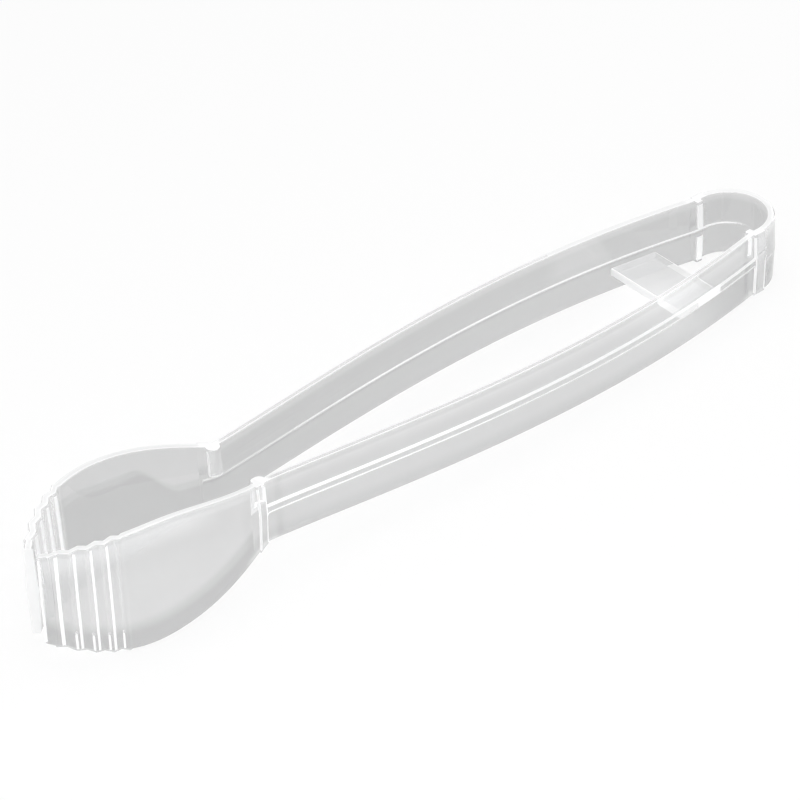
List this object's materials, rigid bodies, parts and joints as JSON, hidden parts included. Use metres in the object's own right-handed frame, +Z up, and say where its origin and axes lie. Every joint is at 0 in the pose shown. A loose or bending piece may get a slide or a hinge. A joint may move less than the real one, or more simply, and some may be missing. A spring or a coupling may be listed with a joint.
{
  "type": "serving tongs",
  "caption": "Clear plastic squeeze tongs: spoon-shaped bowls with pleated tips on long bowed arms, joined by a half-round spring loop.",
  "frame": {"origin": "under the middle of the whole tongs, on the surface they lie on", "axes": "+X from the tips towards the spring loop, +Y from the left arm towards the right arm, +Z up"},
  "size_m": [0.231, 0.0382, 0.0339],
  "materials": {
    "clear_plastic": "clear, polished moulding, with frosted grip pleats and edges"
  },
  "bodies": {
    "loop": {"spring_loop": "clear_plastic"},
    "left_side": {"left_arm": "clear_plastic", "left_bowl": "clear_plastic"},
    "right_side": {"right_arm": "clear_plastic", "right_bowl": "clear_plastic", "stop_tab": "clear_plastic"}
  },
  "joints": [
    {"name": "left_flex", "type": "hinge", "parent": "loop", "child": "left_side", "pos_m": [0.10472, -0.01067, 0.00969], "axis": [0.0368, 0, 0.9993], "range_deg": [-0.1, 6.5], "stiffness_Nm_per_rad": 3},
    {"name": "right_flex", "type": "hinge", "parent": "loop", "child": "right_side", "pos_m": [0.10472, 0.01067, 0.00969], "axis": [-0.0368, 0, -0.9993], "range_deg": [-0.1, 6.5], "stiffness_Nm_per_rad": 3}
  ],
  "couplings": [
    {"joint": "right_flex", "follows": "left_flex", "ratio": 1}
  ]
}
